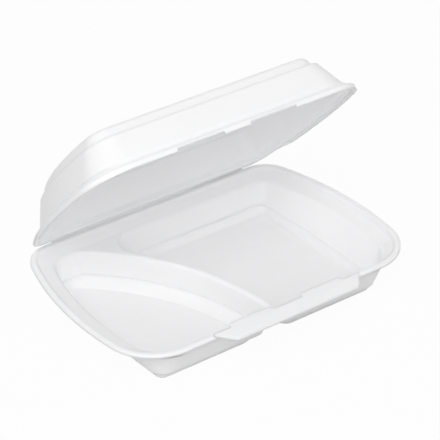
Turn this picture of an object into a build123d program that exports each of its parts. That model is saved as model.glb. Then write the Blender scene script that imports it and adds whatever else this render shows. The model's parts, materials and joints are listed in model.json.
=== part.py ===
"""Hinged meal box pressed from one sheet of foam, with its lid standing open.

The base has two compartments with a curved, hollow divider between them, a stepped rim and a raised front
tongue with two catches. The lid is a dome with a stepped rim, and its turned-down front edge has two notches
opposite the catches. The halves meet at a fold pressed thin in the sheet, which is the lid's hinge.

Frame: millimetres, +Z up, origin on the table under the middle of the box, with the fold at +Y.
"""

import math
import os

from build123d import *

# Overall sizes
box_width = 239.0  # across the widest place of the rim
box_depth = 156.5  # from the fold to the front of the rim
base_height = 29.5  # from the table to the rim
lid_height = 33.0  # from the rim to the top of the closed lid
lid_angle = 47.0  # degrees that the lid stands open
sheet = 2.2  # thickness of the foam
wall_growth = 1.6  # sideways thickness of a sloping wall

# Plan of the rim, shared by the two halves
side_radius = 240.0
widest_from_fold = 90.0
front_corner = 37.0
back_corner = 23.0

# Rim steps, from the outer edge inwards
lip_width = 4.0
riser_run = 1.5
riser_fall = 2.2

# Land of the base that the compartments are pressed into
land_fall = 5.3
land_side = 14.3
land_front = 6.3
land_back = 11.3
land_strip = 2.0  # flat strip round each compartment

# Compartment walls: how far each one leans in above its small ledge and below it
left_wall_run = 9.0
right_wall_run = 13.5
front_wall_run = 5.0
back_wall_run = 4.2
divider_left_wall_run = 2.0
divider_right_wall_run = 6.0
side_foot_run = 2.0
front_foot_run = 1.2
back_foot_run = 1.5
divider_left_foot_run = 6.0
divider_right_foot_run = 3.5
step_width = 2.5  # of the small ledge round each compartment
step_height = 7.8  # of that ledge above the table
floor_side_radius = 3000.0  # the sides are bowed at the top and all but straight at the floor
straightening_shares = (0, 0.75, 0.85, 1)  # of that change, from the top of the wall to the floor

# Divider between the compartments, an arc in plan that bulges to the right
divider_radius = 176.0
divider_front_from_left = 116.3  # of the arc, level with the front of the rim
divider_fold_from_left = 35.7  # of the arc, level with the fold
divider_half_width = 3.0

# Plan corners of the compartments, at the top and at the floor
front_corner_top = 22.0
front_corner_floor = 5.0
back_corner_top = 12.0
back_corner_floor = 3.0
divider_front_corner = 6.0
divider_back_left_top = 12.0
divider_back_left_floor = 3.0
divider_back_right_top = 15.0
divider_back_right_floor = 9.0

# Front tongue of the base and its two catches
tongue_rise = 3.5
tongue_reach = 13.5
tongue_root_half_width = 60.0
tongue_tip_half_width = 50.0
tongue_corner = 5.0
tongue_gap = 0.6  # between the rim and the tongue's inner edge
catch_inner = 12.0
catch_outer = 46.0
catch_depth = 3.8
catch_corner = 1.5

# Lid, which nests inside the base's rim. Its insets are from its own lip
seat_clearance = 0.5  # sideways, between the lid's lip and the base's riser
lid_gap = 0.3  # between the lid and the base's rim beside the fold
lid_back_corner = 15.0
lid_lip_width = 3.0
skirt_drop = 1.6  # turned-down edge of the lid's lip, below the rim
skirt_from_fold = 37.0
foot_height = 6.2  # of the crease under the lid's wall, above the rim
foot_side = 7.0
foot_front = 4.5
foot_back = 10.0
lid_side_run = 9.5
lid_front_run = 8.0
lid_back_run = 6.0
lid_step_drop = 7.5  # of the small step below the lid's top
lid_step_width = 3.0
lid_riser_run = 2.5
notch_clearance = 1.5  # sideways, past each end of a catch

# Fold between the halves, pressed thin from the outside
fold_half_gap = 0.25
fold_web = 0.7
fold_groove = 2.5

# Bevels of the pressed edges
edge_bevel = 1.6
floor_bevel = 1.2
rim_bevel = 0.6
crown_bevel = 1.8

# Working values
overrun = 5.0
tolerance = 0.01
fold_y = box_depth / 2
land_height = base_height - land_fall
lid_angle_rad = math.radians(lid_angle)
lid_normal = (0, math.sin(lid_angle_rad), math.cos(lid_angle_rad))
lid_inset = lip_width + riser_run + seat_clearance
divider_front_x = divider_front_from_left - box_width / 2
divider_fold_x = divider_fold_from_left - box_width / 2
divider_span = math.hypot(divider_front_x - divider_fold_x, box_depth)
divider_rise_share = math.sqrt((divider_radius / divider_span) ** 2 - 1 / 4)
divider_center_x = (divider_front_x + divider_fold_x) / 2 - divider_rise_share * box_depth
divider_center_from_fold = box_depth / 2 + divider_rise_share * (divider_front_x - divider_fold_x)
catch_middle = (catch_inner + catch_outer) / 2
catch_width = catch_outer - catch_inner
lid_plane = Plane(origin=(0, fold_y, base_height), x_dir=(1, 0, 0), z_dir=lid_normal)


def base_level(height):
    """The level plane at a height, with its origin under the fold."""
    return Plane((0, fold_y, height))


def lid_level(height):
    """The plane parallel to the lid's rim at a height above it, with its origin over the fold."""
    return lid_plane.offset(height)


def side_reach(y, side, radius):
    """Half-width of a bowed outline at a distance y from the fold."""
    return box_width / 2 - side - radius + math.sqrt(radius**2 - (y + widest_from_fold) ** 2)


def divider_reach(y, offset):
    """Sideways place of the divider's arc, moved right by an offset, at a distance y from the fold."""
    return divider_center_x + math.sqrt((divider_radius + offset) ** 2 - (y + divider_center_from_fold) ** 2)


def mid_divider(offset, y_front, y_back):
    """A point on the divider's arc between its ends."""
    y = (y_front + y_back) / 2
    return (divider_reach(y, offset), y)


def bowed_outline(plane, side, front, back, corner_front, corner_back):
    """Outline of the whole box, set in from the rim at the sides, the front and the back."""
    radius = side_radius - side
    y_front = front - box_depth
    x_front = side_reach(y_front, side, radius)
    x_back = side_reach(-back, side, radius)
    x_mid = box_width / 2 - side
    with BuildSketch(plane) as outline:
        with BuildLine():
            Line((-x_back, -back), (x_back, -back))
            ThreePointArc((x_back, -back), (x_mid, -widest_from_fold), (x_front, y_front))
            Line((x_front, y_front), (-x_front, y_front))
            ThreePointArc((-x_front, y_front), (-x_mid, -widest_from_fold), (-x_back, -back))
        make_face()
        fillet(outline.vertices().group_by(Axis.Y)[0], corner_front)
        fillet(outline.vertices().group_by(Axis.Y)[-1], corner_back)
    return outline.sketch


def inset_outline(plane, inset):
    """Rim outline set in by the same amount all round."""
    return bowed_outline(plane, inset, inset, inset, front_corner - inset, back_corner - inset)


def blended(top, floor, share):
    """Value part of the way down a compartment's wall."""
    return top + (floor - top) * share


def lean(top, wall_run, foot_run, stage):
    """Inset of a wall at its top (0), the outer and inner edges of its ledge (1, 2) and the floor (3)."""
    return top + (0, wall_run, wall_run + step_width, wall_run + step_width + foot_run)[stage]


def compartment_outline(plane, right, stage, growth):
    """Outline of one compartment at a stage of its walls, grown by the wall's thickness."""
    share = straightening_shares[stage]
    side_wall_run = right_wall_run if right else left_wall_run
    side = lean(land_side + land_strip, side_wall_run, side_foot_run, stage) - growth
    front = lean(land_front + land_strip, front_wall_run, front_foot_run, stage) - growth
    back = lean(land_back + land_strip, back_wall_run, back_foot_run, stage) - growth
    radius = 1 / blended(1 / (side_radius - side), 1 / floor_side_radius, share)
    corner_front = blended(front_corner_top, front_corner_floor, share)
    corner_back = blended(back_corner_top, back_corner_floor, share)
    y_front = front - box_depth
    x_front = side_reach(y_front, side, radius)
    x_back = side_reach(-back, side, radius)
    x_mid = box_width / 2 - side
    if right:
        turn = 1
        offset = lean(divider_half_width, divider_right_wall_run, divider_right_foot_run, stage) - growth
        corner_divider = blended(divider_back_right_top, divider_back_right_floor, share)
    else:
        turn = -1
        offset = growth - lean(divider_half_width, divider_left_wall_run, divider_left_foot_run, stage)
        corner_divider = blended(divider_back_left_top, divider_back_left_floor, share)
    outer_back = (turn * x_back, -back)
    outer_mid = (turn * x_mid, -widest_from_fold)
    outer_front = (turn * x_front, y_front)
    inner_front = (divider_reach(y_front, offset), y_front)
    inner_back = (divider_reach(-back, offset), -back)
    with BuildSketch(plane) as outline:
        with BuildLine():
            Line(inner_back, outer_back)
            ThreePointArc(outer_back, outer_mid, outer_front)
            Line(outer_front, inner_front)
            ThreePointArc(inner_front, mid_divider(offset, y_front, -back), inner_back)
        make_face()
        for point, corner in (
            (outer_back, corner_back),
            (outer_front, corner_front),
            (inner_front, divider_front_corner),
            (inner_back, corner_divider),
        ):
            fillet(outline.vertices().sort_by_distance(point)[0], corner + growth)
    return outline.sketch


def compartment_levels(right, growth, drop):
    """Pairs of outlines that one compartment is lofted between: its bevelled edge, its wall, its foot below
    the ledge and the bevel round its floor."""
    land = base_level(land_height - drop)
    wall_top = base_level(land_height - edge_bevel - drop)
    ledge = base_level(step_height - drop)
    foot_end = base_level(sheet + floor_bevel - drop)
    floor = base_level(sheet - drop)
    steps = (
        ((land, 0, edge_bevel), (wall_top, 0, 0)),
        ((wall_top, 0, 0), (ledge, 1, 0)),
        ((ledge, 2, 0), (foot_end, 3, 0)),
        ((foot_end, 3, 0), (floor, 3, -floor_bevel)),
    )
    return [
        [compartment_outline(plane, right, stage, growth + bevel) for plane, stage, bevel in pair]
        for pair in steps
    ]


def seat_levels(growth, drop):
    """Pairs of outlines that the rim's step is lofted between: its riser, then its sloping ledge."""
    riser_foot = lip_width + riser_run - growth
    foot_plane = base_level(base_height - riser_fall - drop)
    riser = (
        inset_outline(base_level(base_height - drop), lip_width - growth),
        inset_outline(foot_plane, riser_foot),
    )
    ledge = (
        inset_outline(foot_plane, riser_foot),
        bowed_outline(
            base_level(land_height - drop),
            land_side - growth,
            land_front - growth,
            land_back - growth,
            front_corner - land_front + growth,
            back_corner - land_back + growth,
        ),
    )
    return riser, ledge


def lid_outline(height, side, front, back, thickness):
    """Outline of the lid at a height, set in from its lip, and further in by a thickness."""
    return bowed_outline(
        lid_level(height),
        lid_inset + side + thickness,
        lid_inset + front + thickness,
        back + thickness,
        front_corner - lid_inset - front - thickness,
        lid_back_corner - back / 2 - thickness,
    )


def lid_levels(thickness, lift):
    """Pairs of outlines that the lid is lofted between, from its lip up to its top."""
    lip_top = lid_gap + sheet + lift
    riser_top = lip_top + riser_fall
    foot = foot_height + lift
    step = lid_height - lid_step_drop + lift
    top = lid_height + lift
    crown = top - crown_bevel
    riser_foot = lid_lip_width + riser_run
    wall_side = foot_side + lid_side_run
    wall_front = foot_front + lid_front_run
    wall_back = foot_back + lid_back_run
    crown_side = wall_side + lid_step_width
    crown_front = wall_front + lid_step_width
    crown_back = wall_back + lid_step_width
    top_side = crown_side + lid_riser_run + crown_bevel
    top_front = crown_front + lid_riser_run + crown_bevel
    top_back = crown_back + lid_riser_run + crown_bevel
    rings = (
        ((lip_top, lid_lip_width, lid_lip_width, lip_width), (riser_top, riser_foot, riser_foot, riser_foot)),
        ((riser_top, riser_foot, riser_foot, riser_foot), (foot, foot_side, foot_front, foot_back)),
        ((foot, foot_side, foot_front, foot_back), (step, wall_side, wall_front, wall_back)),
        (
            (step, crown_side, crown_front, crown_back),
            (crown, crown_side + lid_riser_run, crown_front + lid_riser_run, crown_back + lid_riser_run),
        ),
        (
            (crown, crown_side + lid_riser_run, crown_front + lid_riser_run, crown_back + lid_riser_run),
            (top, top_side, top_front, top_back),
        ),
    )
    return [[lid_outline(*ring, thickness) for ring in pair] for pair in rings]


def level_faces(faces, height):
    """The level faces at a height above the table."""
    return faces.filter_by(Axis.Z).filter_by_position(Axis.Z, height - tolerance, height + tolerance)


# Base tray
with BuildPart() as base_tray:
    # Rim plate
    extrude(inset_outline(base_level(base_height), 0), -sheet)
    # Foam under the rim's step and round the compartments
    for pair in seat_levels(wall_growth, sheet):
        loft(pair, ruled=True)
    for right in (False, True):
        for pair in compartment_levels(right, wall_growth, sheet):
            loft(pair, ruled=True)
    # Hollows
    for pair in seat_levels(0, 0):
        loft(pair, ruled=True, mode=Mode.SUBTRACT)
    for right in (False, True):
        for pair in compartment_levels(right, 0, 0):
            loft(pair, ruled=True, mode=Mode.SUBTRACT)

    # Bevelled outer edge of the rim
    rim = level_faces(base_tray.faces(), base_height).sort_by(SortBy.AREA)[-1]
    chamfer(rim.outer_wire().edges().sort_by(Axis.Y)[:-1], rim_bevel)

    # Raised tongue at the front on a low riser, with two catches along its inner edge
    with BuildSketch(base_level(base_height + tongue_rise - sheet)) as tongue:
        with BuildLine():
            Polyline(
                (-tongue_root_half_width, -box_depth - tongue_gap),
                (-tongue_tip_half_width, -box_depth - tongue_reach),
                (tongue_tip_half_width, -box_depth - tongue_reach),
                (tongue_root_half_width, -box_depth - tongue_gap),
                close=True,
            )
        make_face()
        fillet(tongue.vertices().group_by(Axis.Y)[0], tongue_corner)
    extrude(amount=sheet)
    with BuildSketch(base_level(base_height - sheet)):
        with Locations((0, -box_depth - sheet / 2)):
            Rectangle(2 * tongue_tip_half_width, sheet)
    extrude(amount=tongue_rise)
    with BuildSketch(base_level(base_height)) as catches:
        for middle in (-catch_middle, catch_middle):
            with Locations((middle, -box_depth - tongue_gap)):
                Rectangle(catch_width, 2 * catch_depth)
        fillet(catches.vertices(), catch_corner)
    extrude(amount=tongue_rise)

    # Fold: the rim ends just short of it and is pressed thin beside it
    with BuildSketch(base_level(base_height)):
        Rectangle(box_width, 2 * fold_half_gap)
    extrude(amount=-sheet, mode=Mode.SUBTRACT)
    with BuildSketch(base_level(base_height - fold_web)):
        Rectangle(box_width, 2 * fold_groove)
    extrude(amount=-sheet, mode=Mode.SUBTRACT)

base_tray.part.label = "base_tray"

# Lid, drawn on planes that stand open with it
with BuildPart() as lid:
    # Lip and its turned-down skirt, which stops short of the fold
    extrude(lid_outline(lid_gap + sheet, 0, 0, 0, 0), -sheet - lid_gap - skirt_drop)
    extrude(lid_outline(lid_gap, 0, 0, 0, sheet), -lid_gap - skirt_drop, mode=Mode.SUBTRACT)
    with BuildSketch(lid_level(lid_gap)):
        with Locations((0, -skirt_from_fold / 2)):
            Rectangle(box_width + overrun, skirt_from_fold)
    extrude(amount=-lid_gap - skirt_drop, mode=Mode.SUBTRACT)
    # Dome and the hollow under it
    for pair in lid_levels(0, 0):
        loft(pair, ruled=True)
    for pair in lid_levels(wall_growth, -sheet):
        loft(pair, ruled=True, mode=Mode.SUBTRACT)
    # Bevelled edge of the lip
    lip = lid.faces().filter_by(lid_plane).sort_by_distance(lid_level(lid_gap + sheet).origin)[0]
    chamfer(lip.outer_wire().edges().sort_by(Axis.Z)[1:], rim_bevel)

    # Notches in the skirt across the front, opposite the catches
    with BuildSketch(lid_level(lid_gap)):
        for middle in (-catch_middle, catch_middle):
            with Locations((middle, lid_inset - box_depth)):
                Rectangle(catch_width + 2 * notch_clearance, 2 * (sheet + tolerance))
    extrude(amount=-lid_gap - skirt_drop, mode=Mode.SUBTRACT)

    # Fold: the lip ends just short of it and is pressed thin beside it
    with BuildSketch(lid_level(lid_gap)):
        Rectangle(box_width, 2 * fold_half_gap)
    extrude(amount=sheet, mode=Mode.SUBTRACT)
    with BuildSketch(lid_level(lid_gap + fold_web)):
        Rectangle(box_width, 2 * fold_groove)
    extrude(amount=sheet, mode=Mode.SUBTRACT)

lid.part.label = "lid"

os.makedirs("parts", exist_ok=True)
export_step(base_tray.part, "parts/base_tray.step")
export_step(lid.part, "parts/lid.step")
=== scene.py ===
"""Looks of the hinged foam meal box.

The solids get the finish of pressed foam. Small pieces of foam are added to them: the bent web along the
fold, the ends of the lid's skirt, and the turned-down edges in the tray's round front corners. Soft studio
light, a pale floor and the photograph's camera complete the scene. Sizes are in metres, degrees and watts.
"""

import json
import math

import bpy
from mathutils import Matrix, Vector


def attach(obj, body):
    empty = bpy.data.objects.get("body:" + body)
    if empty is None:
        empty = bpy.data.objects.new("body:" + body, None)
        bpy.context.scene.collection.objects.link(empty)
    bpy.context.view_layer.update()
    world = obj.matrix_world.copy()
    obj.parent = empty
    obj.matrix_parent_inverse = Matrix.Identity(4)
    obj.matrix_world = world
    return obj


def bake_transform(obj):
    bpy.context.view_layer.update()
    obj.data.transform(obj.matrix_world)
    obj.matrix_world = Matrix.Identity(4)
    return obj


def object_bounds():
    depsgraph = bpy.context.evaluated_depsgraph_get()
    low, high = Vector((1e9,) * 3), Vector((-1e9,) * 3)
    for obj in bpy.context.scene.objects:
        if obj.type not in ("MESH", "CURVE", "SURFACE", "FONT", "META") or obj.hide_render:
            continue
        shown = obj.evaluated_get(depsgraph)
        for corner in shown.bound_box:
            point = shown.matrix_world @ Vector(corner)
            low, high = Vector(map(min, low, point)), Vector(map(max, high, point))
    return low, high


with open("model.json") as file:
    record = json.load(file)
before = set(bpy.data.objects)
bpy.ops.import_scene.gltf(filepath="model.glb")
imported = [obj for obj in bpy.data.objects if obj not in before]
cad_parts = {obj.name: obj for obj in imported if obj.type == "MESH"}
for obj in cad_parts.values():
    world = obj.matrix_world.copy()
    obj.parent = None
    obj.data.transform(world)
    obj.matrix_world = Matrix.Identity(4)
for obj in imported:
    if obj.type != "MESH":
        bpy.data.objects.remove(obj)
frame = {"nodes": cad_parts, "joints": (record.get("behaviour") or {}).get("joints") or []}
cad_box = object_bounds()

# Fold and lid, from the hinge
lid_hinge = frame["joints"][0]
FOLD_Y = lid_hinge["pos_m"][1]
BASE_RIM_HEIGHT = lid_hinge["pos_m"][2]
LID_ANGLE = -lid_hinge["range_deg"][0]  # that the lid stands open

# Bent web along the fold
FOLD_HALF_LENGTH = 0.0815
FOLD_THICKNESS = 0.0006
FOLD_BASE_REACH = 0.0012  # how far the web runs into the tray's side of the fold
FOLD_LID_REACH = 0.0012
FOLD_LID_RISE = 0.00065  # middle of the web above the lid's rim plane
FOLD_BASE_DROP = 0.00035  # middle of the web below the tray's rim plane
FOLD_STEPS = 12

# Ends of the lid's turned-down skirt
LID_HALF_WIDTH = 0.1135  # of the lid's lip at its widest place
LID_SIDE_RADIUS = 0.234
LID_WIDEST_REACH = 0.090  # of that place from the fold
SKIRT_REACH = 0.0375  # just inside the end of the skirt in the solid
SKIRT_END_REACH = 0.019
SKIRT_DROP = 0.0016
SKIRT_THICKNESS = 0.0021
SKIRT_TOP = 0.0006  # inside the foam of the lip
SKIRT_SET_IN = 0.00006
SKIRT_STEPS = 16

# Round front corners of the tray's land, at the top of the compartments
LAND_HEIGHT = 0.0242
LAND_CORNER_X = 0.07226  # axis of the right corner
LAND_CORNER_Y = -0.04125
LAND_CORNER_RADIUS = 0.0307
LEDGE_SIDE_RUN = 0.00808  # of the sloping ledge round the land: more at the side than at the front
LEDGE_FRONT_RUN = 0.0008

# Turned-down edges in those corners
CORNER_EDGE_START = -14.0
CORNER_EDGE_END = -86.0
CORNER_EDGE_STEPS = 40
CORNER_FADE_SHARE = 0.09  # of the edge's length, at each end, where it runs out into the tray
CORNER_CREST_SHARE = 0.3  # of the ledge's slope that the edge covers
CORNER_CREST_RISE = 0.00003  # of the edge above the ledge
CORNER_CREST_SINK = 0.0001  # of its two ends below the ledge
CORNER_FEATHER_SHARE = 0.1  # of the slope, from the crest to where the edge has dipped under the ledge
CORNER_FEATHER_DIP = 0.00004
CORNER_LIP_REACH = 0.0001  # of the edge's lip inside the land's own edge
CORNER_LIP_RETREAT = 0.0005  # of the lip outside the land's own edge, at the two ends
CORNER_LIP_DROP = 0.00002
CORNER_TOE_DROP = 0.005  # of the toe below the land
CORNER_TOE_END_DROP = 0.0005
CORNER_TOE_DEPTH = 0.00015  # of the toe in the compartment's wall
CORNER_TOE_END_DEPTH = 0.00045
CORNER_ROOT_DEPTH = 0.0009  # of the back of the piece in that wall

# Foam, with the scales of its patterns in repeats per metre
FOAM_DARK = (0.950, 0.950, 0.954, 1)
FOAM_PALE = (0.970, 0.970, 0.973, 1)
FOAM_DARK_UNTIL = 0.3  # value of the mottling where the dark colour ends
FOAM_PALE_FROM = 0.7
FOAM_SMOOTHEST = 0.36
FOAM_ROUGHEST = 0.50
FOAM_GLOSS = 0.42
CELL_SCALE = 1100.0
CELL_SMOOTHNESS = 0.6
MOTTLE_SCALE = 90.0
MOTTLE_DETAIL = 4.0
WAVE_SCALE = 28.0
WAVE_DETAIL = 2.0
SWELL_STRENGTH = 0.25
SWELL_HEIGHT = 0.0008
GRAIN_STRENGTH = 0.15
GRAIN_HEIGHT = 0.00012
GLOW_REACH = 0.0022  # how far light spreads in the foam
SHEET_GLOW = 0.6  # share of the light that spreads in the pressed sheet, and in the thin added pieces
THIN_GLOW = 0.0
SHEET_EDGE_RADIUS = 0.0020
THIN_EDGE_RADIUS = 0.0003
EDGE_SAMPLES = 6

# Camera
CAMERA_TARGET = Vector((0.027748, 0.032425, BASE_RIM_HEIGHT))
CAMERA_AZIMUTH = -36.632
CAMERA_ELEVATION = 32.279
CAMERA_DISTANCE = 1.48567
CAMERA_LENS = 175.41  # in millimetres, as the sensor's width is
CAMERA_SENSOR = 36.0
CAMERA_NEAR = 0.05
CAMERA_FAR = 50.0

# Studio
WHITE = (1, 1, 1, 1)
FLOOR_SIZE = 8.0
FLOOR_COLOUR = (0.70, 0.70, 0.70, 1)
FLOOR_WHITE_SHARE = 0.96  # of plain white in the floor as the camera sees it
WORLD_COLOUR = (0.985, 0.985, 1, 1)
WORLD_STRENGTH = 0.575
HIGH_LIGHT_PLACE = Vector((-0.85, -0.8, 1.3))
HIGH_LIGHT_SIZE = 0.9
HIGH_LIGHT_POWER = 11.5
FILL_LIGHT_PLACE = Vector((-0.3, -1.5, 0.8))
FILL_LIGHT_SIZE = 1.2
FILL_LIGHT_POWER = 3.2


def between(first, last, share):
    """The value at a share of the way from the first to the last."""
    return first + (last - first) * share


def eased(share):
    """A share from 0 to 1 that starts and ends gently."""
    return share * share * (3 - 2 * share)


def new_nodes(tree):
    """Clears a node tree and gives short ways to add and join nodes."""
    tree.nodes.clear()

    def add(kind, **settings):
        node = tree.nodes.new(kind)
        for name, value in settings.items():
            setattr(node, name, value)
        return node

    return add, tree.links.new


def foam_material(name, edge_radius, glow):
    """White pressed foam: fine closed cells under a smooth skin, faint mottling and softly rounded edges."""
    material = bpy.data.materials.new(name)
    material.use_nodes = True
    add, join = new_nodes(material.node_tree)
    place = add("ShaderNodeTexCoord")

    cells = add("ShaderNodeTexVoronoi", feature="SMOOTH_F1")
    cells.inputs["Scale"].default_value = CELL_SCALE
    cells.inputs["Smoothness"].default_value = CELL_SMOOTHNESS
    join(place.outputs["Object"], cells.inputs["Vector"])

    mottle = add("ShaderNodeTexNoise")
    mottle.inputs["Scale"].default_value = MOTTLE_SCALE
    mottle.inputs["Detail"].default_value = MOTTLE_DETAIL
    join(place.outputs["Object"], mottle.inputs["Vector"])

    waves = add("ShaderNodeTexNoise")
    waves.inputs["Scale"].default_value = WAVE_SCALE
    waves.inputs["Detail"].default_value = WAVE_DETAIL
    join(place.outputs["Object"], waves.inputs["Vector"])

    colour = add("ShaderNodeValToRGB")
    dark, pale = colour.color_ramp.elements
    dark.position = FOAM_DARK_UNTIL
    dark.color = FOAM_DARK
    pale.position = FOAM_PALE_FROM
    pale.color = FOAM_PALE
    join(mottle.outputs["Fac"], colour.inputs["Fac"])

    rough = add("ShaderNodeMapRange")
    rough.inputs["To Min"].default_value = FOAM_SMOOTHEST
    rough.inputs["To Max"].default_value = FOAM_ROUGHEST
    join(waves.outputs["Fac"], rough.inputs["Value"])

    edges = add("ShaderNodeBevel", samples=EDGE_SAMPLES)
    edges.inputs["Radius"].default_value = edge_radius

    swell = add("ShaderNodeBump")
    swell.inputs["Strength"].default_value = SWELL_STRENGTH
    swell.inputs["Distance"].default_value = SWELL_HEIGHT
    join(waves.outputs["Fac"], swell.inputs["Height"])
    join(edges.outputs["Normal"], swell.inputs["Normal"])

    grain = add("ShaderNodeBump")
    grain.inputs["Strength"].default_value = GRAIN_STRENGTH
    grain.inputs["Distance"].default_value = GRAIN_HEIGHT
    join(cells.outputs["Distance"], grain.inputs["Height"])
    join(swell.outputs["Normal"], grain.inputs["Normal"])

    foam = add("ShaderNodeBsdfPrincipled")
    foam.inputs["Specular IOR Level"].default_value = FOAM_GLOSS
    foam.inputs["Subsurface Weight"].default_value = glow
    foam.inputs["Subsurface Radius"].default_value = (GLOW_REACH, GLOW_REACH, GLOW_REACH)
    foam.inputs["Subsurface Scale"].default_value = 1.0
    join(colour.outputs["Color"], foam.inputs["Base Color"])
    join(rough.outputs["Result"], foam.inputs["Roughness"])
    join(grain.outputs["Normal"], foam.inputs["Normal"])

    result = add("ShaderNodeOutputMaterial")
    join(foam.outputs["BSDF"], result.inputs["Surface"])
    return material


def seen_directly(add, join):
    """1 for rays from the camera, mirrors and glass, and 0 for the light that reaches the object."""
    path = add("ShaderNodeLightPath")
    first = add("ShaderNodeMath", operation="MAXIMUM")
    join(path.outputs["Is Camera Ray"], first.inputs[0])
    join(path.outputs["Is Glossy Ray"], first.inputs[1])
    both = add("ShaderNodeMath", operation="MAXIMUM")
    join(first.outputs["Value"], both.inputs[0])
    join(path.outputs["Is Transmission Ray"], both.inputs[1])
    return both.outputs["Value"]


def floor_material():
    """Pale floor that reads as white and keeps a faint shadow."""
    material = bpy.data.materials.new("white_floor")
    material.use_nodes = True
    add, join = new_nodes(material.node_tree)
    matte = add("ShaderNodeBsdfDiffuse")
    matte.inputs["Color"].default_value = FLOOR_COLOUR
    white = add("ShaderNodeEmission")
    white.inputs["Color"].default_value = WHITE
    white.inputs["Strength"].default_value = 1.0
    share = add("ShaderNodeMath", operation="MULTIPLY")
    share.inputs[1].default_value = FLOOR_WHITE_SHARE
    join(seen_directly(add, join), share.inputs[0])
    mix = add("ShaderNodeMixShader")
    join(share.outputs["Value"], mix.inputs["Fac"])
    join(matte.outputs["BSDF"], mix.inputs[1])
    join(white.outputs["Emission"], mix.inputs[2])
    result = add("ShaderNodeOutputMaterial")
    join(mix.outputs["Shader"], result.inputs["Surface"])
    return material


def white_world():
    """Even white surroundings, dimmer as light than they look."""
    world = bpy.data.worlds.new("studio")
    bpy.context.scene.world = world
    world.use_nodes = True
    add, join = new_nodes(world.node_tree)
    light = add("ShaderNodeBackground")
    light.inputs["Color"].default_value = WORLD_COLOUR
    light.inputs["Strength"].default_value = WORLD_STRENGTH
    white = add("ShaderNodeBackground")
    white.inputs["Color"].default_value = WHITE
    white.inputs["Strength"].default_value = 1.0
    mix = add("ShaderNodeMixShader")
    join(seen_directly(add, join), mix.inputs["Fac"])
    join(light.outputs["Background"], mix.inputs[1])
    join(white.outputs["Background"], mix.inputs[2])
    result = add("ShaderNodeOutputWorld")
    join(mix.outputs["Shader"], result.inputs["Surface"])


def foam_strip(foam, name, rings, side=1):
    """A closed strip of foam through rings of points, as they stand or mirrored to the left."""
    count = len(rings[0])
    points = [(side * p.x, p.y, p.z) for ring in rings for p in ring]
    faces = []
    for step in range(len(rings) - 1):
        low = count * step
        high = low + count
        faces += [(low + k, low + (k + 1) % count, high + (k + 1) % count, high + k) for k in range(count)]
    last = count * (len(rings) - 1)
    faces += [tuple(reversed(range(count))), tuple(range(last, last + count))]
    mesh = bpy.data.meshes.new(name)
    mesh.from_pydata(points, [], faces if side > 0 else [face[::-1] for face in faces])
    mesh.materials.append(foam)
    piece = bpy.data.objects.new(name, mesh)
    bpy.context.scene.collection.objects.link(piece)
    return piece


def lid_point(reach, rise):
    """Point of the open lid's section, by its distance from the fold and its height above the lid's rim."""
    angle = math.radians(LID_ANGLE)
    y = FOLD_Y - reach * math.cos(angle) + rise * math.sin(angle)
    z = BASE_RIM_HEIGHT + reach * math.sin(angle) + rise * math.cos(angle)
    return Vector((0, y, z))


def fold_web(foam):
    """The thin bent web of foam that joins the tray and the lid along the fold."""
    start = Vector((0, FOLD_Y - FOLD_BASE_REACH, BASE_RIM_HEIGHT - FOLD_BASE_DROP))
    end = lid_point(FOLD_LID_REACH, FOLD_LID_RISE)
    base_pull = Vector((0, FOLD_BASE_REACH, 0))
    lid_pull = lid_point(0, FOLD_LID_RISE) - end
    middle = []
    for step in range(FOLD_STEPS + 1):
        t = step / FOLD_STEPS
        bend = (1 - t) ** 3 * start + t**3 * end
        bend += 3 * (1 - t) ** 2 * t * (start + base_pull) + 3 * (1 - t) * t**2 * (end + lid_pull)
        middle.append(bend)
    rows = []
    for step, point in enumerate(middle):
        along = middle[min(step + 1, FOLD_STEPS)] - middle[max(step - 1, 0)]
        out = Vector((0, along.z, -along.y)).normalized() * FOLD_THICKNESS / 2
        rows.append((point + out, point - out))
    loop = [outer for outer, inner in rows] + [inner for outer, inner in reversed(rows)]
    rings = [[Vector((x, p.y, p.z)) for p in loop] for x in (-FOLD_HALF_LENGTH, FOLD_HALF_LENGTH)]
    web = foam_strip(foam, "fold_web", rings)
    web.data.polygons.foreach_set("use_smooth", [True] * len(web.data.polygons))
    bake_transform(web)


def skirt_end(foam, name, side):
    """The lid's turned-down skirt running out into the lip towards the fold, on one side."""
    rings = []
    for step in range(SKIRT_STEPS + 1):
        t = step / SKIRT_STEPS
        reach = between(SKIRT_REACH, SKIRT_END_REACH, t)
        bow = math.sqrt(LID_SIDE_RADIUS**2 - (LID_WIDEST_REACH - reach) ** 2) - LID_SIDE_RADIUS
        outer = LID_HALF_WIDTH + bow - SKIRT_SET_IN
        inner = outer - SKIRT_THICKNESS
        low = SKIRT_SET_IN + between(-SKIRT_DROP, SKIRT_TOP / 2, eased(t))
        corners = ((outer, low), (inner, low), (inner, SKIRT_TOP), (outer, SKIRT_TOP))
        rings.append([lid_point(reach, rise) + Vector((x, 0, 0)) for x, rise in corners])
    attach(foam_strip(foam, name, rings, side), "lid")


def tray_hit(start, along):
    """The first point of the tray's surface from a point along a direction."""
    tray = frame["nodes"]["base_tray"]
    into = tray.matrix_world.inverted()
    found, place, _, _ = tray.ray_cast(into @ start, into.to_3x3() @ along)
    if not found:
        raise RuntimeError("the tray has no surface there")
    return tray.matrix_world @ place


def corner_point(angle, reach, z, side=1):
    """Point at an angle and a distance from the axis of the land's round front corner."""
    x = LAND_CORNER_X + reach * math.cos(angle)
    y = LAND_CORNER_Y + reach * math.sin(angle)
    return Vector((side * x, y, z))


def ledge_height(angle, reach, side):
    """Height of the tray's sloping ledge in the front corner."""
    return tray_hit(corner_point(angle, reach, BASE_RIM_HEIGHT, side), Vector((0, 0, -1))).z


def wall_reach(angle, z, side):
    """Distance from the axis of the front corner to the compartment's wall at a height."""
    axis = corner_point(angle, 0, z, side)
    along = corner_point(angle, 1, z, side) - axis
    return (tray_hit(axis, along) - axis).length


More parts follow.
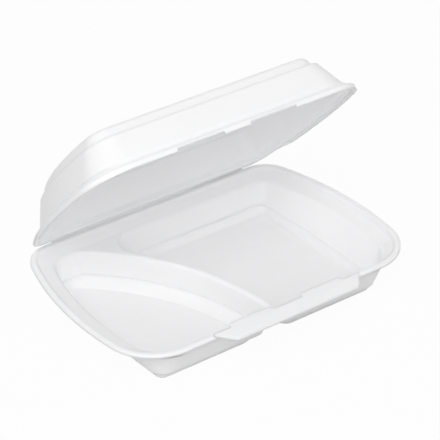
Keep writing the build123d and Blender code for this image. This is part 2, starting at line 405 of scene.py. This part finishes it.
def corner_edge(foam, name, side):
    """The edge of the tray's land turned down into a compartment's round front corner."""
    rings = []
    for step in range(CORNER_EDGE_STEPS + 1):
        t = step / CORNER_EDGE_STEPS
        angle = math.radians(between(CORNER_EDGE_START, CORNER_EDGE_END, t))
        full = eased(min(min(t, 1 - t) / CORNER_FADE_SHARE, 1))
        run = LEDGE_SIDE_RUN * math.cos(angle) + LEDGE_FRONT_RUN
        crest = LAND_CORNER_RADIUS + CORNER_CREST_SHARE * run
        crest_z = ledge_height(angle, crest, side) + between(-CORNER_CREST_SINK, CORNER_CREST_RISE, full)
        feather = crest + CORNER_FEATHER_SHARE * run
        feather_z = ledge_height(angle, feather, side) - CORNER_FEATHER_DIP
        lip = LAND_CORNER_RADIUS + between(CORNER_LIP_RETREAT, -CORNER_LIP_REACH, full)
        toe_z = LAND_HEIGHT - between(CORNER_TOE_END_DROP, CORNER_TOE_DROP, full)
        wall = wall_reach(angle, toe_z, side)
        toe = wall + between(CORNER_TOE_END_DEPTH, CORNER_TOE_DEPTH, full)
        rings.append([
            corner_point(angle, feather, feather_z),
            corner_point(angle, crest, crest_z),
            corner_point(angle, lip, LAND_HEIGHT - CORNER_LIP_DROP),
            corner_point(angle, toe, toe_z),
            corner_point(angle, wall + CORNER_ROOT_DEPTH, toe_z),
        ])
    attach(foam_strip(foam, name, rings, side), "base")


def soft_light(name, place, target, size, power):
    """A large soft lamp that faces the target."""
    lamp = bpy.data.lights.new(name, "AREA")
    lamp.shape = "SQUARE"
    lamp.size = size
    lamp.energy = power
    holder = bpy.data.objects.new(name, lamp)
    bpy.context.scene.collection.objects.link(holder)
    holder.location = place
    holder.rotation_euler = (target - place).to_track_quat("-Z", "Y").to_euler()


def studio():
    """Floor, surroundings and lamps."""
    half = FLOOR_SIZE / 2
    corners = [(-half, -half, 0), (half, -half, 0), (half, half, 0), (-half, half, 0)]
    mesh = bpy.data.meshes.new("floor")
    mesh.from_pydata(corners, [], [(0, 1, 2, 3)])
    mesh.materials.append(floor_material())
    floor = bpy.data.objects.new("floor", mesh)
    bpy.context.scene.collection.objects.link(floor)
    white_world()
    middle = (cad_box[0] + cad_box[1]) / 2
    soft_light("high_light", HIGH_LIGHT_PLACE, middle, HIGH_LIGHT_SIZE, HIGH_LIGHT_POWER)
    soft_light("fill_light", FILL_LIGHT_PLACE, middle, FILL_LIGHT_SIZE, FILL_LIGHT_POWER)


def photo_camera():
    """Camera at the photograph's angle, distance and framing."""
    azimuth = math.radians(CAMERA_AZIMUTH)
    elevation = math.radians(CAMERA_ELEVATION)
    back = Vector((
        math.sin(azimuth) * math.cos(elevation),
        -math.cos(azimuth) * math.cos(elevation),
        math.sin(elevation),
    ))
    lens = bpy.data.cameras.new("photo_camera")
    lens.lens = CAMERA_LENS
    lens.sensor_width = CAMERA_SENSOR
    lens.clip_start = CAMERA_NEAR
    lens.clip_end = CAMERA_FAR
    camera = bpy.data.objects.new("photo_camera", lens)
    bpy.context.scene.collection.objects.link(camera)
    camera.location = CAMERA_TARGET + back * CAMERA_DISTANCE
    camera.rotation_euler = (-back).to_track_quat("-Z", "Y").to_euler()
    bpy.context.scene.camera = camera


sheet_foam = foam_material("pressed_foam", SHEET_EDGE_RADIUS, SHEET_GLOW)
thin_foam = foam_material("thin_pressed_foam", THIN_EDGE_RADIUS, THIN_GLOW)
for node in frame["nodes"].values():
    for slot in node.material_slots:
        slot.material = sheet_foam
fold_web(thin_foam)
skirt_end(thin_foam, "skirt_end_right", 1)
skirt_end(thin_foam, "skirt_end_left", -1)
corner_edge(thin_foam, "corner_edge_right", 1)
corner_edge(thin_foam, "corner_edge_left", -1)
studio()
photo_camera()
bpy.context.scene.view_settings.view_transform = "Standard"
